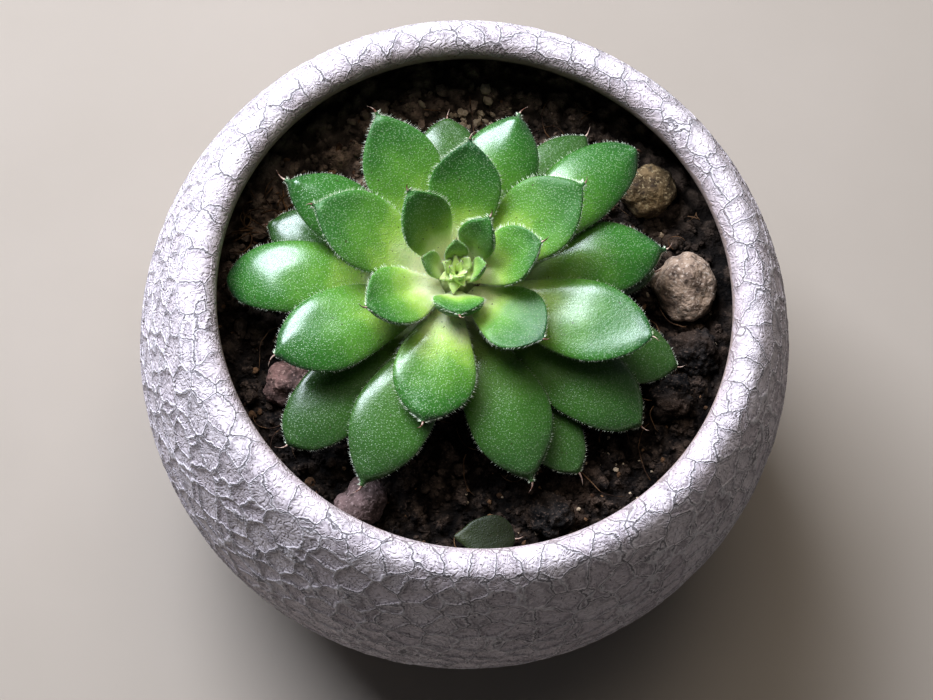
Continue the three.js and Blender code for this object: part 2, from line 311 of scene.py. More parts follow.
outline = outline_of("pot")
along = distances_along(outline)
lip_top = along[outline[:, 1].argmax()]
fine = np.concatenate([
    [0, FIRST_STEP],
    np.arange(2 * FIRST_STEP, lip_top + RELIEF_DEPTH, FINE_STEP),
    np.arange(lip_top + RELIEF_DEPTH, along[-1], 4 * FINE_STEP),
])
wall = smooth_between(along, outline, fine)
wall[:2] = outline[0], outline[0] + (outline[1] - outline[0]) * 0.6
under, floor_inside = outline[0], outline[-1]
rings = np.vstack([[[AXIS_GAP, under[1]], [under[0] / 2, under[1]]], wall,
                   [[floor_inside[0] / 2, floor_inside[1]], [AXIS_GAP, floor_inside[1]]]])
inward = np.concatenate([[-1, -1], fine - lip_top, [1, 1]])
print("the outline has", len(outline), "corners, and", len(rings), "rings once refined")

# %% [markdown]
# ## The glaze
#
# The outside is a crackle glaze over fired clay: as it dried it shrank into plates a few millimetres
# across, whose edges curled up into thin ridges, with fine wrinkles running from each plate's middle to its
# edge. It could all be painted as bump, but then the pot's outline would stay smooth. Cells of a Voronoi
# pattern have just that layout. One function draws them, and both the geometry tree that moves the surface
# and the material's tree call it, so that the large relief and the fine lines always agree.

# %% Plates of the crackle
PLATE = 5.4 * MM


def crackle(tree, place):
    """The plates at a place: distance to the edge in metres, a colour for each plate, and the wrinkles. The
    place is bent first by noise, so the plates' edges wander."""
    bend = add(tree, "ShaderNodeTexNoise", {"Vector": place, "Scale": 1 / (2.6 * MM), "Detail": 4}, output=1)
    bend = add(tree, "ShaderNodeVectorMath", [bend, (0.5,) * 3], operation="SUBTRACT")
    place = add(tree, "ShaderNodeVectorMath", [bend, (2.4 * MM,) * 3, place], operation="MULTIPLY_ADD")
    layout = {"Vector": place, "Scale": 1 / PLATE, "Randomness": 0.85}
    plates = add(tree, "ShaderNodeTexVoronoi", layout, output=None).outputs
    edge = add(tree, "ShaderNodeTexVoronoi", layout, feature="DISTANCE_TO_EDGE")
    edge = add(tree, "ShaderNodeMath", [edge, PLATE], operation="MULTIPLY")
    spoke = add(tree, "ShaderNodeVectorMath", [place, plates["Position"]], operation="SUBTRACT")
    spoke = add(tree, "ShaderNodeVectorMath", [spoke], operation="NORMALIZE")
    spoke = add(tree, "ShaderNodeVectorMath", [plates["Color"], (9.0,) * 3, spoke], operation="MULTIPLY_ADD")
    wrinkle = add(tree, "ShaderNodeTexNoise", {"Vector": spoke, "Scale": 3, "Detail": 1})
    return edge, plates["Color"], wrinkle


def relief_tree():
    """A geometry tree that curls the plates' edges up, dishes their middles and sets some higher."""
    tree = bpy.data.node_groups.new("glaze_relief", "GeometryNodeTree")
    for way in ("INPUT", "OUTPUT"):
        tree.interface.new_socket("Geometry", in_out=way, socket_type="NodeSocketGeometry")
    edge, shade, _ = crackle(tree, add(tree, "GeometryNodeInputPosition"))
    curl = add(tree, "ShaderNodeMapRange", [edge, 0, 0.9 * MM, 0.3 * MM, 0], **EASED)
    dish = add(tree, "ShaderNodeMapRange", [edge, 0, 2.2 * MM, 0, -0.1 * MM], **EASED)
    lift = add(tree, "ShaderNodeMath", [curl, dish], operation="ADD")
    level = add(tree, "ShaderNodeSeparateXYZ", [shade], output=1)
    lift = add(tree, "ShaderNodeMath", [level, 0.12 * MM, lift], operation="MULTIPLY_ADD")
    amount = add(tree, "GeometryNodeInputNamedAttribute", {"Name": "relief"}, data_type="FLOAT")
    lift = add(tree, "ShaderNodeMath", [lift, amount], operation="MULTIPLY")
    outward = add(tree, "GeometryNodeInputNormal")
    offset = add(tree, "ShaderNodeVectorMath", {0: outward, "Scale": lift}, operation="SCALE")
    start = add(tree, "NodeGroupInput")
    moved = add(tree, "GeometryNodeSetPosition", {"Geometry": start, "Offset": offset})
    add(tree, "NodeGroupOutput", [moved], output=None)
    return tree


print("plates are about", round(PLATE / MM, 1), "mm across")

# %% [markdown]
# The glaze itself is matte, off-white with a breath of lilac. A painted highlight makes it paler on the
# ridges, and painted shade makes it darker in a band beside each ridge, in the wrinkles and in the pits. The
# cracks are darker too, partly as the crack lines themselves and partly as painted shade. The glaze stops in
# a ragged line just inside the lip. Below the line is bare fired clay, which darkens further down to near
# black with painted shade. The wrinkles could be one more noise, but drying glaze tears into thin lines, so
# they are drawn as lines of equal height on the noise, as on a map.

# %% Crackle glaze over fired clay
def lines(tree, value, count, width):
    """Thin lines, 1 in their middles, wherever a smooth value passes one of this many steps."""
    steps = add(tree, "ShaderNodeMath", [value, 2 * count], operation="MULTIPLY")
    wave = add(tree, "ShaderNodeMath", [steps, 1], operation="PINGPONG")
    return add(tree, "ShaderNodeMapRange", [wave, 0, width, 1, 0], **EASED)


def plate_masks(tree, place, edge, wrinkle, on_lip):
    """Where the glaze is ridged, cracked, wrinkled and pitted, and the band beside each ridge that only
    carries painted shade. The real wrinkles are a few tenths of a millimetre apart, too fine to show, so they
    are drawn about twice as far apart."""
    ridge = add(tree, "ShaderNodeMapRange", [edge, 0.02 * MM, 0.4 * MM, 1, 0], **EASED)
    # The band from 0.3 to 0.9 mm beside each ridge is used only for painted shade.
    near = add(tree, "ShaderNodeMapRange", [edge, 0.3 * MM, 0.5 * MM], **EASED)
    far = add(tree, "ShaderNodeMapRange", [edge, 0.5 * MM, 0.9 * MM, 1, 0], **EASED)
    rim_shade = add(tree, "ShaderNodeMath", [near, far], operation="MULTIPLY")
    crack = add(tree, "ShaderNodeMapRange", [edge, 0.05 * MM, 0.2 * MM, 1, 0], **EASED)
    torn = add(tree, "ShaderNodeTexNoise", {"Vector": place, "Scale": 1 / (4 * MM), "Detail": 3})
    torn = add(tree, "ShaderNodeMapRange", [torn, 0.42, 0.56, 0.25, 1], **EASED)
    torn = add(tree, "ShaderNodeMath", [torn, on_lip], operation="MAXIMUM")
    crack = add(tree, "ShaderNodeMath", [crack, torn], operation="MULTIPLY")
    swirl = add(tree, "ShaderNodeTexNoise", {"Vector": place, "Scale": 1 / (2.0 * MM), "Detail": 1})
    middle = add(tree, "ShaderNodeMapRange", [edge, 0.9 * MM, 1.9 * MM], **EASED)
    fans, swirls = lines(tree, wrinkle, 3.5, 0.7), lines(tree, swirl, 5, 0.7)
    furrow = add(tree, "ShaderNodeMix", {0: middle, 2: fans, 3: swirls})
    faint = add(tree, "ShaderNodeMapRange", [on_lip, 0, 1, 1, 0.6], **EASED)
    furrow = add(tree, "ShaderNodeMath", [furrow, faint], operation="MULTIPLY")
    pits = add(tree, "ShaderNodeTexNoise", {"Vector": place, "Scale": 1 / (0.5 * MM), "Detail": 1})
    pits = add(tree, "ShaderNodeMapRange", [pits, 0.27, 0.32, 1, 0], **EASED)
    return ridge, rim_shade, crack, furrow, pits


def crackle_glaze():
    # Glaze that was brushed on thick and dried too fast: chalky plates with sharp curled rims. The rims get a
    # painted highlight, as if they caught a low light on one side, and a fine dark line of painted shade on
    # the other.
    made, tree, shader = material("crackle_glaze_on_fired_clay", Roughness=0.7, Specular_IOR_Level=0.35)
    place = add(tree, "ShaderNodeAttribute", output="Vector", attribute_name="rest")
    inside = add(tree, "ShaderNodeAttribute", output="Fac", attribute_name="inside")
    edge, shade, wrinkle = crackle(tree, place)
    on_lip = add(tree, "ShaderNodeMapRange", [inside, -9 * MM, -2 * MM], **EASED)
    ridge, rim_shade, crack, furrow, pits = plate_masks(tree, place, edge, wrinkle, on_lip)
    thin = add(tree, "ShaderNodeMapRange", [inside, 0.5 * MM, 4 * MM, 0, 0.55], **EASED)
    # The pale coat on the ridges is a painted highlight. The dark coats beside the ridges, in the wrinkles
    # and in the pits are painted shade, and the dark coat in the cracks is partly the crack lines and partly
    # painted shade.
    glaze = coated(tree, "#ded4d8", (add(tree, "ShaderNodeSeparateXYZ", [shade]), 1, "#e9e1e4"),
                   (furrow, 0.3, "#8f838a"), (rim_shade, 0.5, "#877d85"), (ridge, 0.9, "#f5f0f3"),
                   (crack, 0.75, "#463e43"), (pits, 0.7, "#4a4144"), (thin, 1, "#b7a29e"))

    ragged = add(tree, "ShaderNodeTexNoise", {"Vector": place, "Scale": 1 / (2.0 * MM), "Detail": 3})
    ragged = add(tree, "ShaderNodeMath", [ragged, 2.6 * MM, inside], operation="MULTIPLY_ADD")
    glazed = add(tree, "ShaderNodeMapRange", [ragged, 5.5 * MM, 5.7 * MM, 1, 0], **EASED)
    tint = add(tree, "ShaderNodeTexNoise", {"Vector": place, "Scale": 1 / (1.5 * MM), "Detail": 3})
    # Painted shade: the pits on the bare clay are darkened, and the clay darkens to near black further down
    # inside the lip.
    inner_shade = add(tree, "ShaderNodeTexNoise", {"Vector": place, "Scale": 1 / (5 * MM), "Detail": 3})
    inner_shade = add(tree, "ShaderNodeMath", [inner_shade, 2 * MM, inside], operation="MULTIPLY_ADD")
    inner_shade = add(tree, "ShaderNodeMapRange", [inner_shade, 6 * MM, 8 * MM], **EASED)
    clay = coated(tree, "#bdaaa2", (tint, 1, "#a39088"), (pits, 0.6, "#5f524b"), (inner_shade, 1, "#191311"))

    sharp = add(tree, "ShaderNodeMapRange", [on_lip, 0, 1, 0.3 * MM, 0.12 * MM], **EASED)
    height = add(tree, "ShaderNodeMath", [ridge, sharp], operation="MULTIPLY")
    height = add(tree, "ShaderNodeMath", [furrow, -0.2 * MM, height], operation="MULTIPLY_ADD")
    height = add(tree, "ShaderNodeMath", [crack, -0.16 * MM, height], operation="MULTIPLY_ADD")
    height = add(tree, "ShaderNodeMath", [height, glazed], operation="MULTIPLY")
    height = add(tree, "ShaderNodeMath", [pits, -0.12 * MM, height], operation="MULTIPLY_ADD")
    tooth = add(tree, "ShaderNodeTexNoise", {"Vector": place, "Scale": 1 / (0.6 * MM), "Detail": 3})
    height = add(tree, "ShaderNodeMath", [tooth, 0.14 * MM, height], operation="MULTIPLY_ADD")
    finish_surface(tree, shader, coated(tree, clay, (glazed, 1, glaze)), height)
    return made


glaze = crackle_glaze()
print("the glaze is made of", len(glaze.node_tree.nodes), "nodes")

# %% [markdown]
# The relief could stay a live modifier, but its result is wanted as a plain mesh, whose normals are then
# kept at their full fineness. The mesh is cut into three rings of faces, foot, belly and lip, so that none
# is too heavy to handle. The relief fades out on the foot, where the pot rests, and down inside the lip,
# where the glaze ends.

# %% Turn the pot
def raised(points, faces, **values):
    """The points of a mesh and their normals once the relief has moved them."""
    draft = piece("draft", points, faces, "pot", [], **values)
    draft.modifiers.new("relief", "NODES").node_group = relief_tree()
    moved = draft.evaluated_get(bpy.context.evaluated_depsgraph_get()).data
    found = np.zeros(len(points) * 3), np.zeros(len(points) * 3)
    moved.vertices.foreach_get("co", found[0])
    moved.vertices.foreach_get("normal", found[1])
    bpy.data.objects.remove(draft)
    return [each.reshape(-1, 3) for each in found]


def make_pot():
    angle = np.linspace(0, 2 * math.pi, POT_ROUND, endpoint=False)
    rest = np.stack([np.outer(rings[:, 0], np.cos(angle)), np.outer(rings[:, 0], np.sin(angle)),
                     np.repeat(rings[:, 1:], POT_ROUND, axis=1)], axis=-1).reshape(-1, 3)
    inside = np.repeat(inward, POT_ROUND)
    on_lip = np.clip(1 - (inside + 9 * MM) / (8 * MM), 0.3, 1)
    ends = np.clip((4.8 * MM - inside) / (1.5 * MM), 0, 1) * np.clip((rest[:, 2] - 1.5 * MM) / (3 * MM), 0, 1)
    points, normals = raised(rest, grid_faces(len(rings), POT_ROUND), relief=on_lip * ends)
    made = []
    lip_row = int(np.searchsorted(inward[2:-2], -16 * MM)) + 2
    last = len(rings) - 1
    cuts = [0, lip_row // 2, lip_row, last]
    for name, low, high in zip(("pot_foot_glaze", "pot_belly_glaze", "pot_lip_glaze"), cuts, cuts[1:]):
        span = slice(low * POT_ROUND, (high + 1) * POT_ROUND)
        count = (high - low + 1) * POT_ROUND
        faces = grid_faces(high - low + 1, POT_ROUND)
        if low == 0:
            faces.append(tuple(range(POT_ROUND))[::-1])
        if high == last:
            faces.append(tuple(range(count - POT_ROUND, count)))
        part = piece(name, points[span], faces, "pot", [glaze], rest=rest[span], inside=inside[span])
        part.data.normals_split_custom_set_from_vertices([tuple(n) for n in normals[span]])
        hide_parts("pot")
        made.append(part)
    return made


pot = make_pot()
print("the pot has", [len(part.data.polygons) for part in pot], "faces")

# %% [markdown]
# ## Reading a leaf from the frame
#
# Each leaf in the frame is a closed skin of rings. It could be subdivided as it is, but its section has too
# few corners for a crisp margin. From its point, the neighbours of each ring are the next ring, so the
# rings can be walked back to the seat. Each gives the leaf's middle, its directions to the left and up, its
# half width, its thickness and the height of its crown, which is all that a finer leaf needs.

# %% Leaf measures
MIDDLE, LEFT, UP = slice(0, 3), slice(3, 6), slice(6, 9)
HALF, THICK, CROWN = 9, 10, 11
WELD = 0.02 * MM


def walk_rings(node):
    """The rings of a leaf from its seat to its point, and its two end points."""
    skin = bmesh.new()
    skin.from_mesh(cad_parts[node].data)
    bmesh.ops.remove_doubles(skin, verts=skin.verts, dist=WELD)
    beside = {v: [e.other_vert(v) for e in v.link_edges] for v in skin.verts}
    ends = sorted(skin.verts, key=lambda v: len(beside[v]))[-2:]
    ring, seen, found = set(beside[ends[0]]), {ends[0]}, []
    while len(ring) > 1:
        found.append(np.array([v.co for v in ring]))
        seen |= ring
        ring = {w for v in ring for w in beside[v]} - seen
    first, last = (np.array(end.co) for end in ends)
    skin.free()
    if np.ptp(found[0], axis=0).max() < np.ptp(found[-1], axis=0).max():
        return found[::-1], last, first
    return found, first, last


def measure(node):
    """The measures of a leaf, one row for each ring from seat to point."""
    sections, seat, point = walk_rings(node)
    centres = np.array([seat, *[s.mean(0) for s in sections], point])
    rows = []
    for k, section in enumerate(sections):
        forward = centres[k + 2] - centres[k]
        apart = section[:, None] - section[None]
        i, j = np.unravel_index((apart**2).sum(-1).argmax(), apart.shape[:2])
        width = np.linalg.norm(section[i] - section[j])
        left = (section[i] - section[j]) / width
        up = np.cross(forward / np.linalg.norm(forward), left)
        if up[2] < 0:
            left, up = -left, -up
        middle = (section[i] + section[j]) / 2
        central = np.argsort(abs((section - middle) @ left))[:4]
        heights = ((section - middle) @ up)[central]
        rows.append([*middle, *left, *up, width / 2, np.ptp(heights), heights.max()])
    return np.array(rows)


rows = measure("outer_leaf_1")
print("outer_leaf_1 is", round(2 * rows[:, HALF].max() / MM, 1), "mm wide and",
      round(rows[:, THICK].max() / MM, 1), "mm thick")

# %% [markdown]
# ## Leaf skin
#
# A leaf of this kind is a water store. It is lime where it joins the stem and deep green at the end, with a
# bluish bloom, and older leaves are duller. One green with a gradient would look like plastic. Instead the
# flesh ripens in steps along the leaf, at a place that wanders and that age moves, and light goes a little
# way into it. Over that lie the feet of tiny glandular hairs, a few dark specks, a sheen for the down, and
# a clear coat for the wax.

# %% Waxy and downy leaf skin
def leaf_flesh(name, coat, sheen, rough):
    # Living skin over watery flesh: wax gives a broad, clear highlight, and down gives a pale, dusty edge.
    made, tree, shader = material(
        name, Roughness=rough, IOR=1.45, Subsurface_Weight=0.14, Subsurface_Scale=1.5 * MM,
        Subsurface_Radius=(0.6, 1.0, 0.2), Coat_Weight=coat, Coat_Roughness=0.22, Coat_IOR=1.5,
        Sheen_Weight=sheen, Sheen_Roughness=0.45, Sheen_Tint=colour("#cfe6dc"))
    place = add(tree, "ShaderNodeTexCoord", output="Object")
    along, across, age = (add(tree, "ShaderNodeAttribute", output="Fac", attribute_name=kept)
                          for kept in ("along", "across", "age"))

    lumps = add(tree, "ShaderNodeTexNoise", {"Vector": place, "Scale": 1 / (4 * MM), "Detail": 4})
    reach = add(tree, "ShaderNodeMath", [along, 0.13], operation="SUBTRACT")
    for value, weight in ((lumps, 0.26), (across, 0.06), (age, 0.2)):
        reach = add(tree, "ShaderNodeMath", [value, weight, reach], operation="MULTIPLY_ADD")
    flesh = "#fafbd8"
    for start, end, tone in ((0.2, 0.5, "#b4d365"), (0.38, 0.66, "#699d3b"), (0.58, 0.9, "#3f772d"),
                             (0.88, 1.2, "#28572e")):
        ripe = add(tree, "ShaderNodeMapRange", [reach, start, end], **EASED)
        flesh = coated(tree, flesh, (ripe, 1, tone))
    old = add(tree, "ShaderNodeMapRange", [age, 0.45, 1], **EASED)
    # Past 1.1 of age the skin darkens to near black, partly as the dying leaf's own colour and partly as
    # painted shade.
    withered_and_shaded = add(tree, "ShaderNodeMapRange", [age, 1.1, 1.5, 0, 0.9], **EASED)
    young = add(tree, "ShaderNodeMapRange", [age, -0.4, 0, 0.9, 0], **EASED)

    # The feet of the hairs stand a tenth of a millimetre apart, so they are drawn three times as far apart.
    dots = add(tree, "ShaderNodeTexVoronoi", {"Vector": place, "Scale": 1 / (0.36 * MM)})
    dots = add(tree, "ShaderNodeMapRange", [dots, 0.1, 0.5, 1, 0], **EASED)
    frost = add(tree, "ShaderNodeMapRange", [age, 0.1, 0.9, 0.32, 0.16], **EASED)
    fresh = add(tree, "ShaderNodeMapRange", [age, 1.1, 1.4, 1, 0], **EASED)
    frost = add(tree, "ShaderNodeMath", [frost, fresh], operation="MULTIPLY")
    frost = add(tree, "ShaderNodeMath", [dots, frost], operation="MULTIPLY")
    specks = add(tree, "ShaderNodeTexNoise", {"Vector": place, "Scale": 1 / (0.7 * MM), "Detail": 1})
    specks = add(tree, "ShaderNodeMapRange", [specks, 0.22, 0.26, 0.7, 0], **EASED)
    dull = coated(tree, "#3c5b24", (lumps, 1, "#5d7833"))
    flesh = coated(tree, flesh, (old, 0.5, dull), (withered_and_shaded, 1, "#201d0e"), (young, 1, "#dff2a6"),
                   (frost, 1, "#cfe2c0"), (specks, 1, "#3d3a22"))

    uneven = add(tree, "ShaderNodeTexNoise", {"Vector": place, "Scale": 1 / (0.9 * MM), "Detail": 3})
    uneven = add(tree, "ShaderNodeMath", [uneven, 0.3, rough - 0.15], operation="MULTIPLY_ADD")
    tree.links.new(uneven, shader.inputs["Roughness"])
    soft = add(tree, "ShaderNodeTexNoise", {"Vector": place, "Scale": 1 / (1.4 * MM), "Detail": 2})
    grainy = add(tree, "ShaderNodeTexNoise", {"Vector": place, "Scale": 1 / (0.5 * MM), "Detail": 2})
    height = add(tree, "ShaderNodeMath", [soft, 0.05 * MM], operation="MULTIPLY")
    for bumps, high in ((grainy, 0.07 * MM), (dots, 0.04 * MM)):
        height = add(tree, "ShaderNodeMath", [bumps, high, height], operation="MULTIPLY_ADD")
    finish_surface(tree, shader, flesh, height)
    return made


WAXY = leaf_flesh("waxy_leaf_skin", coat=0.85, sheen=0.1, rough=0.3)
DOWNY = leaf_flesh("downy_leaf_skin", coat=0.12, sheen=0.2, rough=0.52)
print("leaf skins", WAXY.name, "and", DOWNY.name)

# %% [markdown]
# Each leaf ends in a small spine that dries as it grows. It is the same skin without its water, so it is
# matte, brown to straw, and a plain two-coloured noise is enough at this size.

# %% Dry spine
def dry_spine():
    # Dead, shrunken tissue: a warm fleck at each tip, with no gloss.
    made, tree, shader = material("dry_leaf_spine", Roughness=0.6)
    place = add(tree, "ShaderNodeTexCoord", output="Object")
    bleached = add(tree, "ShaderNodeTexNoise", {"Vector": place, "Scale": 1 / (0.8 * MM), "Detail": 3})
    bleached = add(tree, "ShaderNodeMapRange", [bleached, 0.35, 0.65], **EASED)
    height = add(tree, "ShaderNodeTexNoise", {"Vector": place, "Scale": 1 / (0.3 * MM), "Detail": 3})
    height = add(tree, "ShaderNodeMath", [height, 0.05 * MM], operation="MULTIPLY")
    finish_surface(tree, shader, coated(tree, "#6e4433", (bleached, 1, "#d8c0b0")), height)
    return made


SPINE = dry_spine()
print("spine material", SPINE.name)

# %% [markdown]
# ## Leaf shape
#
# The real leaf is a plump blade with a rounded margin, a flat or slightly dished face and a keel below.
# Subdividing a box would round it all alike. Here smooth curves run through the frame's measures, and each
# section is drawn from a rounded edge and its own crown, so the gloss breaks along the margin as it does on
# the plant. Slow waves keep any two from matching. No two leaves grow alike either, so tables give each
# kind its habit, and some leaves one of their own.

# %% Habits of the leaves
# How old the skin looks, where below 0 is not yet open and above 1 is dying. Past 1.1 the skin also darkens
# to near black, partly as painted shade, which only the loose leaf reaches.
AGES = {"core": -0.4, "bud": -0.3, "heart": -0.08, "inner": 0.0, "middle": 0.15, "outer": 0.45, "lower": 0.85,
        "ground": 1.0, "loose": 1.5}
# How far towards deep green the leaf gets at its end.
RIPE = {"core": 0.45, "bud": 0.6, "heart": 0.75, "inner": 0.95, "lower": 1.1, "inner_leaf_1": 1.15,
        "inner_leaf_3": 1.15}
# How much the end lifts, as a share of the leaf's length.
CURL = {"outer": 0.03, "middle": 0.045, "inner": 0.04, "outer_leaf_2": 0.17, "outer_leaf_4": 0.0}
# How much the upper face swells, as a share of the leaf's thickness.
PILLOW = {"outer": 0.36, "lower": 0.3, "ground": 0.2, "middle": 0.1, "middle_leaf_1": 0.4,
          "outer_leaf_2": 0.1, "outer_leaf_3": 0.5, "outer_leaf_5": 0.5, "outer_leaf_6": 0.5,
          "outer_leaf_7": 0.62}
# Which have a clear wax, and which have a ridge down the middle where the rest are rounded.
GLOSSY = ("outer", "lower", "ground", "middle_leaf_1")
RIDGED = ("outer_leaf_7", "outer_leaf_3", "outer_leaf_5", "middle_leaf_1")


def habit(table, node, usual=0.0):
    """A leaf's own value where it has one, or else its kind's."""
    return table.get(node, table.get(node.split("_")[0], usual))


print("outer leaves swell by", habit(PILLOW, "outer_leaf_1"), "of their thickness")

# %% Points of one leaf
def leaf_points(rows, steps, sides, node, dice):
    """The points of a finer leaf, one row for each step, with the directions at each row."""
    known = distances_along(rows[:, MIDDLE])
    length = known[-1]
    share = (1 - np.cos(np.linspace(0, math.pi, steps))) / 2
    made = smooth_between(known, rows, share * length)
    curl, pillow = habit(CURL, node), habit(PILLOW, node)
    bent = 0.42 if curl > 0.1 else 0.66
    lift = curl * length * np.clip((share - bent) / (1 - bent), 0, 1) ** 2
    made[:, MIDDLE] += made[:, UP] * lift[:, None]
    middle, left, up = made[:, MIDDLE], made[:, LEFT], made[:, UP]
    seated = np.sqrt(np.clip(share / 0.25, 0.01, 1)) if node.startswith("loose") else 1
    half = np.maximum(made[:, HALF] * seated, 0.12 * MM)
    thick = np.maximum(made[:, THICK] * seated, 0.2 * MM)
    crown = made[:, CROWN] + pillow * thick

    angle = np.linspace(0, 2 * math.pi, sides, endpoint=False)
    side, rise = np.cos(angle), np.sin(angle)
    side = np.sign(side) * abs(side) ** 0.9
    level = 1 - abs(side) ** (1.25 if node in RIDGED else 2)
    rim = 0.36 * thick
    upper = np.outer(rim, abs(rise)) - np.outer(rim - crown, level)
    lower = -np.outer(thick - crown, abs(rise) ** 0.85)
    height = np.where(rise > 0, upper, lower)
    crease = np.exp(-((side / 0.2) ** 2)) * (rise > 0) * (0.05 if pillow < 0.1 else 0.01)
    height -= np.outer(thick * np.clip(share * 3, 0, 1) * np.clip((0.9 - share) * 4, 0, 1), crease)

    start = dice.uniform(0, 50)
    sway = np.array([0.012 * length * noise.noise((3 * s + start, 0, 0)) for s in share])
    wave = np.array([[noise.noise((4 * s + start, 1.5 * a, 7)) for a in side] for s in share])
    height += wave * (0.09 * thick)[:, None]
    points = (middle + left * sway[:, None])[:, None] + left[:, None] * (half[:, None] * side)[..., None]
    points = points + up[:, None] * height[..., None]
    return points, share, side, rise, made


fine_leaf = leaf_points(rows, 64, 40, "outer_leaf_1", random.Random(0))[0]
print("a leaf of", len(rows), "rings gets", fine_leaf.shape[0], "rings of", fine_leaf.shape[1], "points")

# %% Spine at the tip
def make_spine(start, forward, up, length, thick, dice):
    """A thin tapering thread that curls as it dries."""
    sides, steps = 6, 12
    cross = np.cross(up, forward)
    bend, lean = dice.uniform(-1.2, 2.6), dice.choice((-1, 1)) * dice.uniform(0.3, 2.4)
    points, centre = [], np.array(start)
    for k in range(steps):
        t = k / (steps - 1)
        way = forward + up * bend * t * t + cross * lean * t
        way /= np.linalg.norm(way)
        radius = thick * ((1 - t) ** 1.4 + 0.2)
        for s in range(sides):
            a = 2 * math.pi * s / sides
            points.append(centre + radius * (math.cos(a) * cross + math.sin(a) * np.cross(way, cross)))
        centre = centre + way * length / (steps - 1)
    faces = grid_faces(steps, sides) + [tuple(sides * (steps - 1) + k for k in range(sides))]
    return points, faces


print("a spine has", len(make_spine((0, 0, 0), *np.eye(3)[:2], MM, MM, random.Random(0))[1]), "faces")

# %% [markdown]
# A leaf and its spine are one piece with two materials, since they are one growth. The values for the skin
# go with the points, and what the hairs need is kept in a list until they are grown.

# %% Build the leaves
hairs = []


def make_leaf(node, rows):
    name, kind = (node, "core") if "core" in node else (node + "_skin", node.split("_")[0])
    dice = random.Random(name)
    small = kind in ("core", "bud", "heart")
    glossy = node in GLOSSY or kind in GLOSSY
    steps, sides = (28, 20) if small else (64, 40)
    points, share, side, rise, made = leaf_points(rows, steps, sides, node, dice)
    flat = points.reshape(-1, 3)
    faces = grid_faces(steps, sides)
    faces += [tuple(range(sides))[::-1], tuple(range((steps - 1) * sides, steps * sides))]

    forward = points[-1].mean(0) - points[-5].mean(0)
    forward /= np.linalg.norm(forward)
    length = {"core": 0.3, "bud": 0.4, "heart": 0.9}.get(kind, dice.uniform(1.4, 2.8)) * MM
    spine, spine_faces = make_spine(points[-3].mean(0), forward, made[-1, UP], length,
                                     (0.12 if small else 0.22) * MM, dice)
    spine_faces = [tuple(i + len(flat) for i in face) for face in spine_faces]

    ripe = habit(RIPE, node, 1.0)
    on_leaf = {"along": np.repeat(share * ripe, sides), "across": np.tile(abs(side), steps),
               "age": np.full(len(flat), AGES[kind])}
    on_spine = {"along": ripe, "across": 1.0, "age": AGES[kind]}
    values = {key: np.concatenate([on_leaf[key], np.full(len(spine), on_spine[key])]) for key in on_leaf}
    slot = "young_leaf" if small or kind == "loose" else "leaf"
    skin = WAXY if glossy else DOWNY
    leaf = piece(name, np.vstack([flat, spine]), faces + spine_faces, slot, [skin, SPINE], **values)
    for face in leaf.data.polygons[len(faces):]:
        face.material_index = 1
    if kind != "loose":
        nap = 0.7 if kind in GLOSSY else 2.4
        hairs.append((name, points, share, side, rise, made, 0.45 if small else 1.0, nap))
    return leaf


for node in sorted(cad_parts):
    if "leaf" in node:
        make_leaf(node, measure(node))
        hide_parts(node)

# %% [markdown]
# ## The growing core
#
# Between the last leaves of the frame the next ones are already forming: tiny, pale and folded together.
# They are too small for the frame, so they are drawn here from their own measures, each turned by the
# golden angle from the one before, which is how such a plant sets its leaves. That one rule looks more
# alive than a ring of copies would.

# %% Core leaves
GOLDEN_TURN = math.radians(137.5)
CORE_LEAVES = 14
bud_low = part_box("bud_leaf_1")[0]
heart = Vector((0, 0, 0))
for k in (1, 2, 3):
    heart += (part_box(f"bud_leaf_{k}")[0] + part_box(f"bud_leaf_{k}")[1]) / 6


def core_rows(turn, lean, length, width, foot):
    """Measures for a tiny leaf that stands on the stem's end and leans outwards."""
    out = np.array([math.cos(turn), math.sin(turn), 0])
    rows = []
    for t in np.linspace(0, 1, 9):
        tilt = math.radians(lean) * (0.5 + 0.9 * t)
        forward = out * math.sin(tilt) + np.array([0, 0, math.cos(tilt)])
        middle = foot + forward * length * t + out * 0.3 * MM
        left = np.array([-out[1], out[0], 0])
        up = np.cross(forward, left)
        if up @ out > 0:
            up, left = -up, -left
        half = width / 2 * (0.55 + 0.45 * math.sin(math.pi * min(1, t * 1.3) / 1.1)) * (1 - t**3.5) ** 0.8
        thick = 0.45 * width * (1 - t**3) ** 0.6
        rows.append([*middle, *left, *up, half, thick, 0.1 * thick])
    return np.array(rows)


for k in range(CORE_LEAVES):
    foot = np.array([heart.x, heart.y, bud_low.z + (0.6 - 0.06 * k) * MM])
    rows = core_rows(1.1 + k * GOLDEN_TURN, 9 + 4.0 * k, (4.1 - 0.02 * k) * MM, (1.5 + 0.13 * k) * MM, foot)
    make_leaf(f"core_leaf_{k + 1}", rows)
print("core leaves stand at", [round(c / MM, 1) for c in heart])

# %% [markdown]
# ## Hairs
#
# Under a lens the margin carries a fringe of fine white hairs, two thirds of a millimetre long, and shorter
# ones stand all over the upper face. They catch the light and give the plant its frosted outline. Particle
# hair would render well, but it is lost when the model is exported. A hair this fine needs only
# three sides, so all of them are one mesh of slender spikes.

# %% Hair material and spikes
def hair_stuff():
    # Clear, hollow hairs that scatter light: they read as near white, with a touch of the green under them.
    made, tree, shader = material("glandular_hair", Roughness=0.5)
    place = add(tree, "ShaderNodeTexCoord", output="Object")
    pale = add(tree, "ShaderNodeTexNoise", {"Vector": place, "Scale": 1 / (2 * MM), "Detail": 3})
    tree.links.new(coated(tree, "#dcebc8", (pale, 1, "#f6faee")), shader.inputs["Base Color"])
    return made


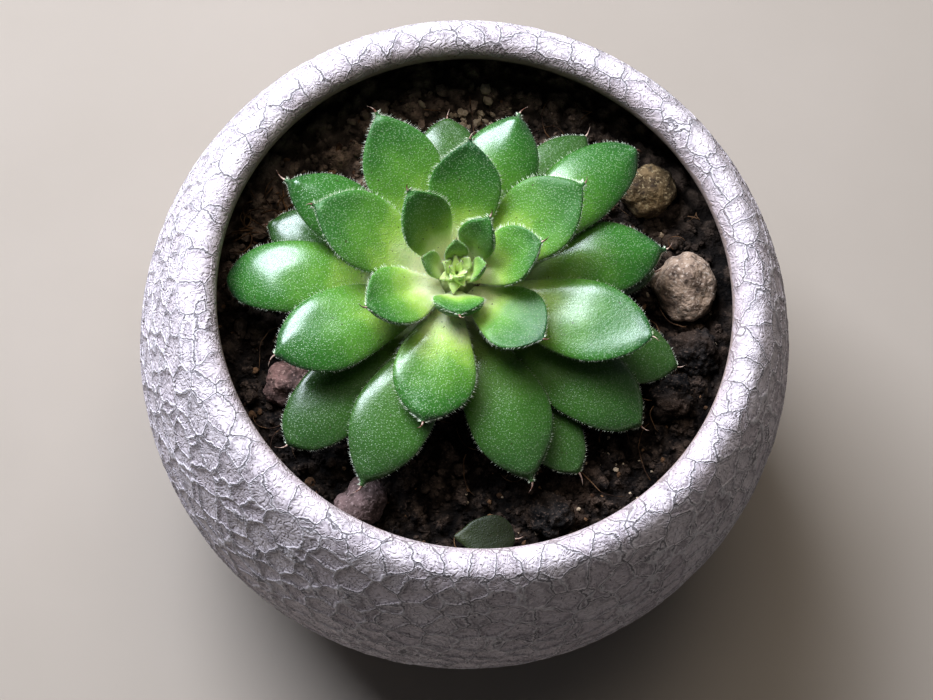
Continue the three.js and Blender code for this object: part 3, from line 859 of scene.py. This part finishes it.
def spikes(roots, ways, lengths, radius):
    """Three-sided spikes from their roots, each along its own way."""
    ways = ways / np.linalg.norm(ways, axis=1)[:, None]
    beside = np.cross(ways, np.where(abs(ways[:, 2:]) < 0.9, [[0, 0, 1.0]], [[1.0, 0, 0]]))
    beside /= np.linalg.norm(beside, axis=1)[:, None]
    other = np.cross(ways, beside)
    thirds = [2 * math.pi * k / 3 for k in range(3)]
    base = [roots + radius[:, None] * (math.cos(a) * beside + math.sin(a) * other) for a in thirds]
    points = np.stack([*base, roots + ways * lengths[:, None]], axis=1).reshape(-1, 3)
    sides = ((0, 1), (1, 2), (2, 0))
    faces = [(4 * k + a, 4 * k + b, 4 * k + 3) for k in range(len(roots)) for a, b in sides]
    return points, faces


print("hairs are needed on", len(hairs), "leaves")

# %% Grow the hairs
def scattered_hairs(points, share, side, rise, made, size, nap, dice):
    """Roots, ways and lengths of one leaf's hairs: a fringe on the margin and a nap on the upper face."""
    forward = np.gradient(made[:, MIDDLE], axis=0)
    forward /= np.linalg.norm(forward, axis=1)[:, None]
    left, up, half = made[:, LEFT], made[:, UP], made[:, HALF]
    roots, ways, lengths = [], [], []
    length = np.linalg.norm(np.diff(made[:, MIDDLE], axis=0), axis=1).sum()
    downy = nap > 1
    apart = (0.14 if downy else 0.26) * MM
    for _ in range(int(2 * length / apart)):
        t = dice.uniform(0.12, 1) * (len(share) - 1)
        k, part = min(int(t), len(share) - 2), t - int(t)
        j = 0 if dice.random() < 0.5 else int(np.argmin(side))
        j = (j + dice.choice((0, 0, 1, -1))) % len(side)
        roots.append(points[k, j] * (1 - part) + points[k + 1, j] * part)
        ways.append(left[k] * side[j] + up[k] * dice.uniform(0, 0.5) + forward[k] * dice.uniform(0, 0.5))
        lengths.append(dice.uniform(0.45, 0.95) * MM * size * (1.0 if downy else 0.7))

    top = [j for j in range(len(side)) if rise[j] > 0.1]
    for _ in range(int(length * half.max() * 1.5 * nap / MM**2)):
        t = dice.uniform(0.08, 1) * (len(share) - 1)
        k, part = min(int(t), len(share) - 2), t - int(t)
        if dice.random() > half[k] / half.max():
            continue
        j = dice.choice(top)
        roots.append(points[k, j] * (1 - part) + points[k + 1, j] * part)
        sideways = 0.4 * side[j] + dice.uniform(-0.3, 0.3)
        ways.append(up[k] + left[k] * sideways + forward[k] * dice.uniform(-0.1, 0.4))
        lengths.append(dice.uniform(0.1, 0.2) * MM * size)
    return np.array(roots), np.array(ways), np.array(lengths)


def grow_hairs():
    roots, ways, lengths = [], [], []
    for name, *shape in hairs:
        grown = scattered_hairs(*shape, random.Random(name + "hair"))
        for total, part in zip((roots, ways, lengths), grown):
            total.append(part)
    lengths = np.concatenate(lengths)
    radius = np.where(lengths > 0.3 * MM, 0.036, 0.018) * MM
    points, faces = spikes(np.vstack(roots), np.vstack(ways), lengths, radius)
    return piece("leaf_hairs", points, faces, "leaf", [hair_stuff()])


fringe = grow_hairs()
print(len(fringe.data.polygons) // 3, "hairs")

# %% [markdown]
# ## Stem
#
# Little of the stem shows between the leaves, as a pale green post that turns corky towards the soil. A
# finer mesh would be wasted there. The frame's own solid is right for it, and only gets the look of stem
# tissue.

# %% Stem material
def stem_tissue():
    # Soft green skin, as on the leaf bases, that splits into brown cork with age: a pale heart in the gaps.
    made, tree, shader = material("green_stem_tissue", Roughness=0.65)
    place = add(tree, "ShaderNodeTexCoord", output="Object")
    high = add(tree, "ShaderNodeSeparateXYZ", [place], output=2)
    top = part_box("stem")[1].z
    corky = add(tree, "ShaderNodeMapRange", [high, top - 14 * MM, top - 7 * MM, 1, 0], **EASED)
    mottle = add(tree, "ShaderNodeTexNoise", {"Vector": place, "Scale": 1 / (1.2 * MM), "Detail": 3})
    height = add(tree, "ShaderNodeTexNoise", {"Vector": place, "Scale": 1 / (0.8 * MM), "Detail": 3})
    height = add(tree, "ShaderNodeMath", [height, 0.25 * MM], operation="MULTIPLY")
    tissue = coated(tree, "#e2ecb8", (mottle, 1, "#c6db8c"), (corky, 1, "#6b5a3c"))
    finish_surface(tree, shader, tissue, height)
    return made


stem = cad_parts["stem"]
stem.data.materials.clear()
stem.data.materials.append(stem_tissue())
print("the stem is made of", stem.data.materials[0].name)

# %% [markdown]
# ## Soil
#
# Potting soil is dark, damp and crumbly: clods of a few millimetres, with painted shade that makes the gaps
# between them black, and a paler brown painted light on the side that faces the window. Strewn crumbs alone
# would leave holes down to the pot, so first comes a closed bed, a fine disc whose height is built from three
# sizes of crumb. Its height is a pattern of cells, high in their middles and deep where they meet.

# %% Soil material
SOIL_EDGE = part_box("soil")[1].x
SOIL_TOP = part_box("soil")[1].z - 1 * MM


def damp_soil(name, dark, light):
    # Peat, broken and pressed down wet: no gloss at all, painted shade in the gaps, and a paler brown painted
    # light on the side towards the window.
    made, tree, shader = material(name, Roughness=0.85, Specular_IOR_Level=0.3)
    place = add(tree, "ShaderNodeTexCoord", output="Object")
    spot = add(tree, "ShaderNodeSeparateXYZ", [place], output=None).outputs
    crumbs = add(tree, "ShaderNodeTexNoise", {"Vector": place, "Scale": 1 / (2.2 * MM), "Detail": 6})
    crumbs = add(tree, "ShaderNodeMapRange", [crumbs, 0.36, 0.64], **EASED)
    patch = add(tree, "ShaderNodeTexNoise", {"Vector": place, "Scale": 1 / (13 * MM), "Detail": 2})
    patch = add(tree, "ShaderNodeMapRange", [patch, 0.52, 0.64], **EASED)
    grit = add(tree, "ShaderNodeTexNoise", {"Vector": place, "Scale": 1 / (0.55 * MM), "Detail": 4})
    grit = add(tree, "ShaderNodeMapRange", [grit, 0.55, 0.72], **EASED)
    # Painted light: the side of the soil towards the window is coated a paler, mottled brown.
    sunward = add(tree, "ShaderNodeMath", [spot["X"], -0.5, spot["Y"]], operation="MULTIPLY_ADD")
    lit_side = add(tree, "ShaderNodeMapRange", [sunward, -5 * MM, 40 * MM, 0, 0.9], **EASED)
    lit_tone = add(tree, "ShaderNodeTexNoise", {"Vector": place, "Scale": 1 / (1.6 * MM), "Detail": 5})
    lit_tone = coated(tree, "#463830", (lit_tone, 1, "#c4ab96"))
    # Painted shade: the low gaps between the crumbs are coated near black.
    gap, crest = SOIL_TOP - 1.6 * MM, SOIL_TOP + 0.3 * MM
    sunk = add(tree, "ShaderNodeMapRange", [spot["Z"], gap, crest, 0.85, 0], **EASED)
    body = coated(tree, dark, (crumbs, 1, light), (patch, 0.4, "#5d4a3c"), (grit, 0.6, "#7a675a"),
                  (lit_side, 1, lit_tone), (sunk, 1, "#070505"))
    height = add(tree, "ShaderNodeTexNoise", {"Vector": place, "Scale": 1 / (0.6 * MM), "Detail": 6})
    height = add(tree, "ShaderNodeMath", [height, 0.7 * MM], operation="MULTIPLY")
    finish_surface(tree, shader, body, height)
    return made


SOIL = damp_soil("damp_potting_soil", "#1c1715", "#57493f")
HUMUS = damp_soil("black_humus_clod", "#100f0f", "#37322f")
print("soils", SOIL.name, "and", HUMUS.name)

# %% Soil surface
CRUMBS = ((5.2 * MM, 1.5), (2.4 * MM, 1.0), (1.2 * MM, 0.5))  # how far apart, and how deep in mm
WALL_AND_GAP = 7.6 * MM


def crumb_height(x, y):
    """Height of the soil: rounded crumbs of three sizes with deep gaps between them."""
    height = 0.7 * noise.noise((x / 0.012, y / 0.012, 3.1))
    for size, deep in CRUMBS:
        near = noise.voronoi((x / size + 0.3 * noise.noise((x / size, y / size, 1)), y / size, size * 900))[0]
        height += deep * (min(1.0, (near[1] - near[0]) * 2.0) - 0.7)
    return SOIL_TOP + min(height, 0.8) * MM


def make_soil(stuff):
    rows, sides = 110, 400
    radius = np.linspace(0.02, 1, rows) * (SOIL_EDGE - 0.3 * MM)
    angle = np.linspace(0, 2 * math.pi, sides, endpoint=False)
    points = [(r * math.cos(a), r * math.sin(a), crumb_height(r * math.cos(a), r * math.sin(a)))
              for r in radius for a in angle]
    for drop in (4, 10, 20):
        low = SOIL_TOP - drop * MM
        edge = math.sqrt(BALL_RADIUS**2 - (low - BALL_HEIGHT) ** 2) - WALL_AND_GAP
        points += [(edge * math.cos(a), edge * math.sin(a), low) for a in angle]
    faces = [face[::-1] for face in grid_faces(rows + 3, sides)]
    faces += [tuple(range(sides)), tuple(range(len(points) - sides, len(points)))[::-1]]
    soil = piece("soil_bed", points, faces, "soil", [stuff])
    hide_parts("soil")
    return soil


soil = make_soil(SOIL)
print("soil bed,", len(soil.data.polygons), "faces, top at", round(SOIL_TOP / MM, 1), "mm")

# %% [markdown]
# ## Stones and clods
#
# The stones are field stones and broken brick, rubbed round, and each is another rock. A displaced ball
# would make them brothers, so each starts from its own solid in the frame, is subdivided and smoothed, and
# is then pushed in and out by noise, coarse for its shape and fine for its grain. Clods of soil get the
# same treatment with more noise.

# %% Stone materials
def rough_stone(name, dark, light, fleck):
    # Weathered rock, never polished: a dull, grainy face with pale flecks, and soil caught in its hollows.
    made, tree, shader = material(name, Roughness=0.85)
    place = add(tree, "ShaderNodeTexCoord", output="Object")
    veins = add(tree, "ShaderNodeTexNoise", {"Vector": place, "Scale": 1 / (3.5 * MM), "Detail": 6})
    veins = add(tree, "ShaderNodeMapRange", [veins, 0.3, 0.7], **EASED)
    specks = add(tree, "ShaderNodeTexNoise", {"Vector": place, "Scale": 1 / (0.6 * MM), "Detail": 2})
    specks = add(tree, "ShaderNodeMapRange", [specks, 0.56, 0.66], **EASED)
    dirt = add(tree, "ShaderNodeTexNoise", {"Vector": place, "Scale": 1 / (1.4 * MM), "Detail": 4})
    dirt = add(tree, "ShaderNodeMapRange", [dirt, 0.56, 0.7], **EASED)
    height = add(tree, "ShaderNodeTexNoise", {"Vector": place, "Scale": 1 / (0.9 * MM), "Detail": 6})
    height = add(tree, "ShaderNodeMath", [height, 0.6 * MM], operation="MULTIPLY")
    body = coated(tree, dark, (veins, 1, light), (specks, 0.65, fleck), (dirt, 0.7, "#2c211b"))
    finish_surface(tree, shader, body, height)
    return made


STONES = {
    "stone_1": rough_stone("weathered_limestone", "#7d6b5d", "#bda691", "#d8cabb"),
    "stone_2": rough_stone("weathered_sandstone", "#54442e", "#957f5c", "#c2b08a"),
    "stone_3": rough_stone("broken_brick_grit", "#51403b", "#8f6f66", "#b39489"),
    "stone_4": rough_stone("pale_brick_grit", "#4f403c", "#7f6a67", "#a28e8b"),
}
print("stones", [stuff.name for stuff in STONES.values()])

# %% Worn stones and clods
def worn(node, stuff, slot, coarse, fine):
    """A finer copy of a lump in the frame, roughened by noise of two sizes and hollowed by a third."""
    skin = bmesh.new()
    skin.from_mesh(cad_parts[node].data)
    bmesh.ops.remove_doubles(skin, verts=skin.verts, dist=WELD)
    middle = sum((v.co for v in skin.verts), Vector()) / len(skin.verts)
    bmesh.ops.subdivide_edges(skin, edges=skin.edges, cuts=6, use_grid_fill=True)
    bmesh.ops.triangulate(skin, faces=skin.faces)
    every_way = {"use_axis_x": True, "use_axis_y": True, "use_axis_z": True}
    for _ in range(3):
        bmesh.ops.smooth_vert(skin, verts=skin.verts, factor=0.5, **every_way)
    skin.normal_update()
    for v in skin.verts:
        out = coarse * noise.noise(v.co / 0.0032) + fine * noise.fractal(v.co / 0.0011, 0.8, 2.0, 3)
        out -= 1.4 * coarse * max(0.0, noise.noise(v.co / 0.0055 + middle / 0.002) - 0.1)
        v.co += v.normal * (out + 0.25 * MM)
    points = [v.co.copy() for v in skin.verts]
    faces = [tuple(v.index for v in f.verts) for f in skin.faces]
    skin.free()
    made = piece(node + "_worn", points, faces, slot, [stuff])
    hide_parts(node)
    return made


lumps = [worn(node, stuff, "stone", 1.0 * MM, 0.22 * MM) for node, stuff in STONES.items()]
lumps += [worn(node, HUMUS, "soil", 1.4 * MM, 0.7 * MM) for node in ("clod_1", "clod_2", "clod_3")]
print("stones and clods", {lump.name: len(lump.data.polygons) for lump in lumps})

# %% [markdown]
# ## Litter on the soil
#
# On top of the bed lie loose crumbs, chips of bark, pale mineral grit and dead roots. They could be
# instanced on the surface, but instances are lost when the model is exported, so each kind is one mesh
# of many small closed bits. Some are strewn all over, and some lie thick in one spot, where the potter's
# hand or the watering left them.

# %% Bark and grit materials
def dry_bark():
    # Shredded wood that has dried: warm brown fibres, lighter where they are worn, with no gloss.
    made, tree, shader = material("dry_bark_and_root", Roughness=0.85)
    place = add(tree, "ShaderNodeTexCoord", output="Object")
    light = add(tree, "ShaderNodeTexNoise", {"Vector": place, "Scale": 1 / (3 * MM), "Detail": 3})
    light = add(tree, "ShaderNodeMapRange", [light, 0.35, 0.65], **EASED)
    height = add(tree, "ShaderNodeTexNoise", {"Vector": place, "Scale": 1 / (0.4 * MM), "Detail": 3})
    height = add(tree, "ShaderNodeMath", [height, 0.2 * MM], operation="MULTIPLY")
    finish_surface(tree, shader, coated(tree, "#3a271c", (light, 1, "#8a6a4c")), height)
    return made


def pale_grit():
    # Volcanic glass puffed up in a kiln: chalky, nearly white grains, stained to cream by the soil.
    made, tree, shader = material("perlite_grit", Roughness=0.8)
    place = add(tree, "ShaderNodeTexCoord", output="Object")
    clean = add(tree, "ShaderNodeTexNoise", {"Vector": place, "Scale": 1 / (1.2 * MM), "Detail": 3})
    height = add(tree, "ShaderNodeTexNoise", {"Vector": place, "Scale": 1 / (0.4 * MM), "Detail": 3})
    height = add(tree, "ShaderNodeMath", [height, 0.15 * MM], operation="MULTIPLY")
    finish_surface(tree, shader, coated(tree, "#a58f74", (clean, 1, "#d8c8b0")), height)
    return made


BARK, GRIT = dry_bark(), pale_grit()
print("litter of", BARK.name, "and", GRIT.name)

# %% Strewn grains
LITTER_NEAR, LITTER_FAR = 6 * MM, 49 * MM  # distances from the middle of the soil


def on_soil(dice, spot=None):
    """A random place on the soil, even by area, or close to a spot given by azimuth and distance in mm."""
    if spot:
        a, r = math.radians(dice.gauss(spot[0], 6)), min(dice.gauss(spot[1], 3) * MM, LITTER_FAR)
    else:
        r = math.sqrt(dice.uniform(LITTER_NEAR**2, LITTER_FAR**2))
        a = dice.uniform(0, 2 * math.pi)
    return r * math.cos(a), r * math.sin(a)


def strew(name, count, smallest, largest, flat, stuff, seed, spot=None):
    """Small lumpy grains, each a squashed and roughened ball, half sunk where it lies."""
    dice = random.Random(seed)
    grain_shape = bmesh.new()
    bmesh.ops.create_icosphere(grain_shape, subdivisions=1, radius=1)
    ball = np.array([v.co for v in grain_shape.verts])
    triangles = [tuple(v.index for v in f.verts) for f in grain_shape.faces]
    grain_shape.free()
    points, faces = [], []
    for k in range(count):
        x, y = on_soil(dice, spot)
        size = dice.uniform(smallest, largest) * dice.uniform(0.5, 1)
        shape = ball * [1, dice.uniform(0.5, 1), flat * dice.uniform(0.7, 1)]
        lumpy = [1 + 0.4 * noise.noise(Vector(p) * 1.7 + Vector((k, 0, 0))) for p in ball]
        turned = Euler((dice.uniform(-0.5, 0.5), dice.uniform(-0.5, 0.5), dice.uniform(0, 6.3))).to_matrix()
        shape = (shape * np.array(lumpy)[:, None]) @ np.array(turned).T * size / 2
        faces += [tuple(i + len(points) for i in f) for f in triangles]
        points += list(shape + [x, y, crumb_height(x, y) + size * flat * 0.15])
    return piece(name, points, faces, "soil", [stuff], smooth=False)


litter = [
    strew("soil_lumps", 420, 2 * MM, 4.6 * MM, 0.7, SOIL, 10),
    strew("soil_crumbs", 5200, 0.6 * MM, 2 * MM, 0.8, SOIL, 11),
    strew("bark_bits", 220, 0.8 * MM, 2.8 * MM, 0.5, BARK, 12),
    strew("pale_grit_bits", 60, 0.6 * MM, 1.8 * MM, 0.8, GRIT, 13),
    strew("back_grit_bits", 22, 1 * MM, 3.4 * MM, 0.7, GRIT, 15, (104, 43)),
    strew("left_bark_bits", 60, 1 * MM, 3.6 * MM, 0.5, BARK, 16, (152, 36)),
    strew("front_grit_bits", 14, 0.8 * MM, 1.6 * MM, 0.8, GRIT, 17, (322, 44)),
]
print("grains", {each.name: len(each.data.polygons) for each in litter})

# %% Wandering roots
ROOTS_TURN_BACK = 50 * MM


def fibres(name, count, longest, radius, stuff, seed, spot=None):
    """Thin roots that wander over the soil."""
    dice = random.Random(seed)
    steps, sides = 12, 4
    points, faces = [], []
    for _ in range(count):
        x, y = on_soil(dice, spot)
        heading, curl = dice.uniform(0, 6.3), dice.uniform(-0.35, 0.35)
        length = dice.uniform(0.35, 1) * longest
        lift = dice.uniform(0.3, 1.6) * MM
        start = len(points)
        for k in range(steps):
            t = k / (steps - 1)
            centre = Vector((x, y, SOIL_TOP + 0.3 * MM + lift * math.sin(math.pi * t)))
            r = radius * (1 - 0.7 * t)
            side = Vector((-math.sin(heading), math.cos(heading), 0))
            for s in range(sides):
                a = 2 * math.pi * s / sides
                points.append(centre + side * r * math.cos(a) + Vector((0, 0, r * math.sin(a))))
            heading += curl + dice.uniform(-0.25, 0.25)
            x += math.cos(heading) * length / steps
            y += math.sin(heading) * length / steps
            if math.hypot(x, y) > ROOTS_TURN_BACK:
                heading += math.pi
        faces += grid_faces(steps, sides, start)
        ends = start, start + sides * (steps - 1)
        faces += [tuple(ends[0] + s for s in (3, 2, 1, 0)), tuple(ends[1] + s for s in range(sides))]
    return piece(name, points, faces, "soil", [stuff])


roots = [
    fibres("root_hairs", 90, 14 * MM, 0.16 * MM, BARK, 14),
    fibres("left_roots", 26, 12 * MM, 0.22 * MM, BARK, 18, (168, 44)),
]
print("roots", {each.name: len(each.data.polygons) for each in roots})
